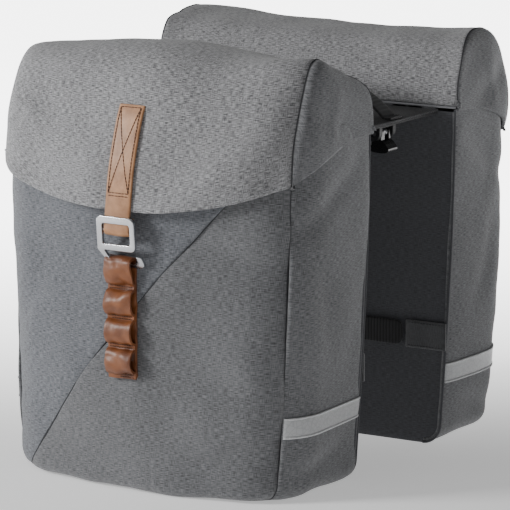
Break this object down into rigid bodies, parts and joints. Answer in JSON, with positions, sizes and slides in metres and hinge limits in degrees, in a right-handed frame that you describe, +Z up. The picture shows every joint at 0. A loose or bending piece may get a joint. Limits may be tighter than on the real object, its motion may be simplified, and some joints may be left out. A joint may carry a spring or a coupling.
{
  "type": "pannier bag",
  "caption": "Double bicycle pannier: soft grey bags joined by a bridge board, lids with leather strap, flat hook and loop ladder, clip-on rack adapter.",
  "frame": {"origin": "on the floor, midway between the bags and midway along them", "axes": "+Z up, +X towards the bicycle's tail, +Y across the bicycle towards the right bag"},
  "size_m": [0.321, 0.4806, 0.377],
  "materials": {
    "lid_cloth": "matt woven heather",
    "heather_cloth": "matt woven heather",
    "grey_cloth": "matt woven",
    "gusset_cloth": "matt woven",
    "dark_cloth": "matt woven",
    "bridge_cloth": "matt",
    "stiffener_board": "matt",
    "tan_leather": "satin",
    "brown_leather": "satin",
    "aluminium": "satin",
    "retroreflective": "satin",
    "black_webbing": "matt woven",
    "black_nylon": "satin",
    "steel": "satin"
  },
  "bodies": {
    "frame": {"left_front_panel_upper": "heather_cloth", "left_front_panel_lower": "grey_cloth", "left_side_gusset_front": "gusset_cloth", "left_side_gusset_rear": "gusset_cloth", "left_base_panel": "gusset_cloth", "left_rack_panel": "dark_cloth", "left_back_board": "stiffener_board", "left_base_board": "stiffener_board", "left_loop_ladder": "brown_leather", "left_reflector_front": "retroreflective", "left_reflector_rear": "retroreflective", "left_strap_anchor": "black_webbing", "left_strap_sleeve": "black_webbing", "right_front_panel_upper": "heather_cloth", "right_front_panel_lower": "grey_cloth", "right_side_gusset_front": "gusset_cloth", "right_side_gusset_rear": "gusset_cloth", "right_base_panel": "gusset_cloth", "right_rack_panel": "dark_cloth", "right_back_board": "stiffener_board", "right_base_board": "stiffener_board", "right_loop_ladder": "brown_leather", "right_reflector_front": "retroreflective", "right_reflector_rear": "retroreflective", "right_strap_anchor": "black_webbing", "right_strap_sleeve": "black_webbing", "bridge_board": "bridge_cloth", "handle_patch_front": "black_webbing", "handle_patch_rear": "black_webbing", "adapter_plate": "black_nylon", "latch_pin": "steel", "latch_spring": "steel", "adapter_screw_1": "steel", "adapter_screw_2": "steel", "adapter_screw_3": "steel", "adapter_screw_4": "steel"},
    "left_lid": {"left_lid_top": "lid_cloth", "left_lid_ear_front": "lid_cloth", "left_lid_ear_rear": "lid_cloth", "left_lid_strap": "tan_leather"},
    "left_hook": {"left_hook": "aluminium"},
    "left_strap": {"left_strap_tab": "black_webbing"},
    "right_lid": {"right_lid_top": "lid_cloth", "right_lid_ear_front": "lid_cloth", "right_lid_ear_rear": "lid_cloth", "right_lid_strap": "tan_leather"},
    "right_hook": {"right_hook": "aluminium"},
    "right_strap": {"right_strap_tab": "black_webbing"},
    "handle": {"carry_handle": "black_webbing"},
    "latch": {"latch_lever": "black_nylon"}
  },
  "joints": [
    {"name": "left_lid_hinge", "type": "hinge", "parent": "frame", "child": "left_lid", "pos_m": [0, -0.075, 0.311], "axis": [-1, 0, 0], "range_deg": [0, 90], "deforming": ["left_loop_ladder"]},
    {"name": "left_hook_swing", "type": "hinge", "parent": "left_lid", "child": "left_hook", "pos_m": [0, -0.2305, 0.233], "axis": [-1, 0, 0], "range_deg": [0, 25], "deforming": ["left_lid_strap"]},
    {"name": "left_strap_swing", "type": "hinge", "parent": "frame", "child": "left_strap", "pos_m": [0.0397, -0.0721, 0.101], "axis": [0, 0, 1], "range_deg": [0, 80]},
    {"name": "right_lid_hinge", "type": "hinge", "parent": "frame", "child": "right_lid", "pos_m": [0, 0.075, 0.311], "axis": [1, 0, 0], "range_deg": [0, 90], "deforming": ["right_loop_ladder"]},
    {"name": "right_hook_swing", "type": "hinge", "parent": "right_lid", "child": "right_hook", "pos_m": [0, 0.2305, 0.233], "axis": [1, 0, 0], "range_deg": [0, 25], "deforming": ["right_lid_strap"]},
    {"name": "right_strap_swing", "type": "hinge", "parent": "frame", "child": "right_strap", "pos_m": [0.0397, 0.0721, 0.101], "axis": [0, 0, -1], "range_deg": [0, 80]},
    {"name": "handle_swing", "type": "hinge", "parent": "frame", "child": "handle", "pos_m": [0, 0, 0.3301], "axis": [1, 0, 0], "range_deg": [-55, 55]},
    {"name": "latch_swing", "type": "hinge", "parent": "frame", "child": "latch", "pos_m": [0.124, 0, 0.2964], "axis": [0, -1, 0], "range_deg": [0, 25], "stiffness_Nm_per_rad": 0.06, "springref_deg": -20.05, "deforming": ["latch_spring"]}
  ]
}
